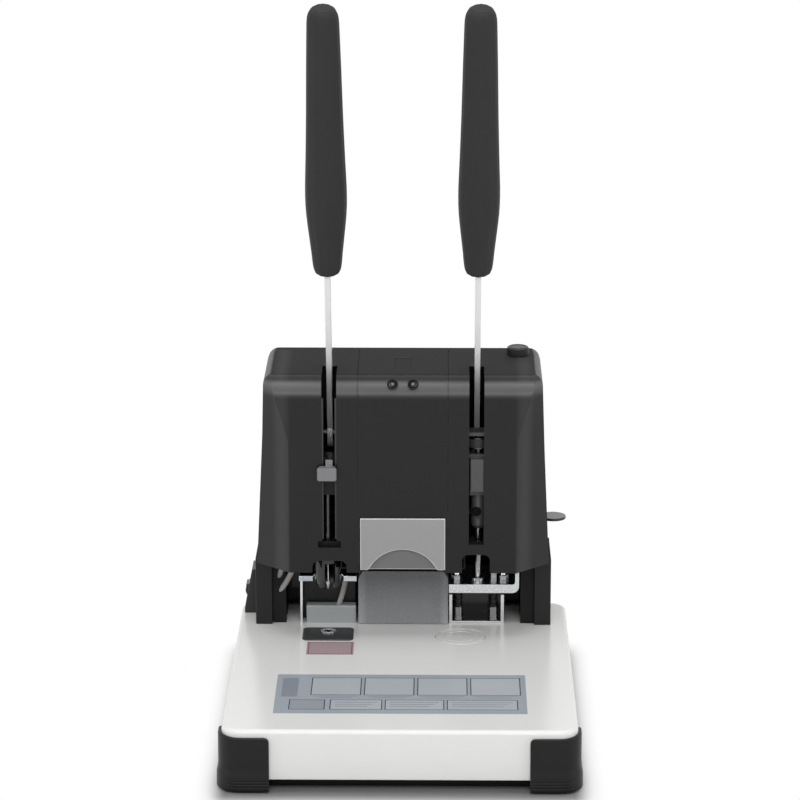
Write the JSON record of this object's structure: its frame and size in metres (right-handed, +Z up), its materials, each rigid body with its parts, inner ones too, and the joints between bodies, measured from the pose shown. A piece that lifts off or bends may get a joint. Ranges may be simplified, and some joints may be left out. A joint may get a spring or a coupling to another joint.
{
  "type": "document riveting machine",
  "caption": "Desktop document binding machine: a white worktable carries a black head with two hand levers, a hollow drill with press plate on the right and a heated rivet needle on the left.",
  "frame": {"origin": "on the desk, under the middle of the machine's own box, levers up", "axes": "+Z up, +X to the operator's right, the operator stands on the -Y side"},
  "size_m": [0.309, 0.359, 0.6417],
  "materials": {
    "white_paint": "satin",
    "black_paint": "fine satin",
    "rubber": "matte",
    "black_plastic": "matte",
    "white_nylon": "satin",
    "steel": "machined",
    "label_blue": "printed film",
    "label_pink": "printed film",
    "board": "coated",
    "grey_paint": "satin",
    "brass": "machined",
    "black_screw": "black oxide",
    "led_lens": "frosted",
    "light_paint": "satin",
    "smoke_plastic": "translucent",
    "bright_steel": "brushed",
    "grip_rubber": "matte",
    "spring_steel": "drawn wire",
    "aluminium": "machined",
    "grey_plastic": "matte",
    "dark_steel": "blackened",
    "chrome": "polished",
    "cable": "sleeved",
    "belt_rubber": "matte",
    "black_spring": "oiled wire"
  },
  "bodies": {
    "frame": {"worktable_tray": "white_paint", "base_bottom_pan": "black_paint", "rubber_feet": "rubber", "front_left_guard": "black_plastic", "front_right_guard": "black_plastic", "cutting_pad_seat": "steel", "rivet_die_plate": "black_paint", "lower_rivet_die": "steel", "lower_heater": "steel", "instruction_label": "label_blue", "caution_label": "label_pink", "control_board": "board", "left_side_plate": "grey_paint", "right_side_plate": "grey_paint", "bearing_plates": "steel", "shaft_bushes": "brass", "head_shelf": "grey_paint", "left_leg_cover": "black_paint", "right_leg_cover": "black_paint", "front_cover": "black_paint", "rear_cover": "black_paint", "case_screws": "black_screw", "power_inlet": "black_plastic", "switch_housing": "black_plastic", "indicator_leds": "led_lens", "lever_return_springs": "spring_steel", "slide_rails": "steel", "left_slot_liner": "grey_plastic", "stripper_fork": "chrome", "lower_heater_housing": "bright_steel", "heater_cables": "cable", "press_guide_bracket": "dark_steel", "guide_posts": "chrome", "post_springs": "black_spring"},
    "left_lever": {"left_lever_bar": "bright_steel", "left_grip": "grip_rubber", "left_lever_shaft": "bright_steel", "left_sector_gear": "steel"},
    "right_lever": {"right_lever_bar": "bright_steel", "right_grip": "grip_rubber", "right_lever_shaft": "bright_steel", "right_sector_gear": "steel"},
    "left_ram": {"ram_block": "aluminium", "upper_heater": "dark_steel", "rivet_needle": "chrome"},
    "drill_slide": {"drill_carriage": "aluminium", "drill_motor": "dark_steel", "drive_belt": "belt_rubber"},
    "drill_spindle_body": {"drill_spindle": "steel", "drill_chuck": "dark_steel", "hollow_bit": "chrome"},
    "motor_rotor": {"motor_pulley": "aluminium"},
    "press_plate_body": {"press_plate": "bright_steel", "press_plate_nuts": "chrome"},
    "drawer": {"tube_drawer": "light_paint"},
    "bin": {"chip_bin": "smoke_plastic"},
    "knob": {"power_knob": "black_plastic"},
    "depth_stop": {"stop_lever": "grey_paint"},
    "rocker": {"power_switch": "black_plastic"},
    "turning_pad": {"cutting_pad": "white_nylon"}
  },
  "joints": [
    {"name": "left_lever_swing", "type": "hinge", "parent": "frame", "child": "left_lever", "pos_m": [0, 0.132, 0.23], "axis": [1, 0, 0], "range_deg": [0, 56], "stiffness_Nm_per_rad": 2.5, "springref_deg": -28.65},
    {"name": "right_lever_swing", "type": "hinge", "parent": "frame", "child": "right_lever", "pos_m": [0, 0.132, 0.23], "axis": [1, 0, 0], "range_deg": [0, 56], "stiffness_Nm_per_rad": 2.5, "springref_deg": -28.65},
    {"name": "left_ram_slide", "type": "slide", "parent": "frame", "child": "left_ram", "axis": [0, 0, -1], "range_m": [0, 0.0421]},
    {"name": "drill_feed", "type": "slide", "parent": "frame", "child": "drill_slide", "axis": [0, 0, -1], "range_m": [0, 0.0421]},
    {"name": "press_plate_slide", "type": "slide", "parent": "frame", "child": "press_plate_body", "axis": [0, 0, -1], "range_m": [0, 0.02], "deforming": ["post_springs"]},
    {"name": "drill_spin", "type": "hinge", "parent": "drill_slide", "child": "drill_spindle_body", "pos_m": [0.0676, 0.082, 0.2], "axis": [0, 0, 1], "continuous": true},
    {"name": "motor_spin", "type": "hinge", "parent": "drill_slide", "child": "motor_rotor", "pos_m": [0.03, 0.098, 0.236], "axis": [0, 0, 1], "continuous": true},
    {"name": "cutting_pad_turn", "type": "hinge", "parent": "frame", "child": "turning_pad", "pos_m": [0.052, 0.0735, 0.052], "axis": [0, 0, 1], "continuous": true},
    {"name": "power_knob_turn", "type": "hinge", "parent": "frame", "child": "knob", "pos_m": [0.1035, 0.148, 0.3], "axis": [0, 0, -1], "range_deg": [0, 270]},
    {"name": "depth_stop_swing", "type": "hinge", "parent": "frame", "child": "depth_stop", "pos_m": [0.118, 0.14, 0.1486], "axis": [0, 0, 1], "range_deg": [-8, 8]},
    {"name": "power_switch_rock", "type": "hinge", "parent": "frame", "child": "rocker", "pos_m": [-0.138, 0.154, 0.075], "axis": [0, -1, 0], "range_deg": [0, 14]},
    {"name": "tube_drawer_slide", "type": "slide", "parent": "frame", "child": "drawer", "axis": [0, -1, 0], "range_m": [0, 0.045]},
    {"name": "chip_bin_slide", "type": "slide", "parent": "frame", "child": "bin", "axis": [0, -1, 0], "range_m": [0, 0.1]}
  ],
  "couplings": [
    {"joint": "left_ram_slide", "follows": "left_lever_swing", "m_per_rad": 0.043},
    {"joint": "drill_feed", "follows": "right_lever_swing", "m_per_rad": 0.043},
    {"joint": "press_plate_slide", "follows": "right_lever_swing", "m_per_rad": 0.0204},
    {"joint": "motor_spin", "follows": "drill_spin", "ratio": 1.2857}
  ]
}
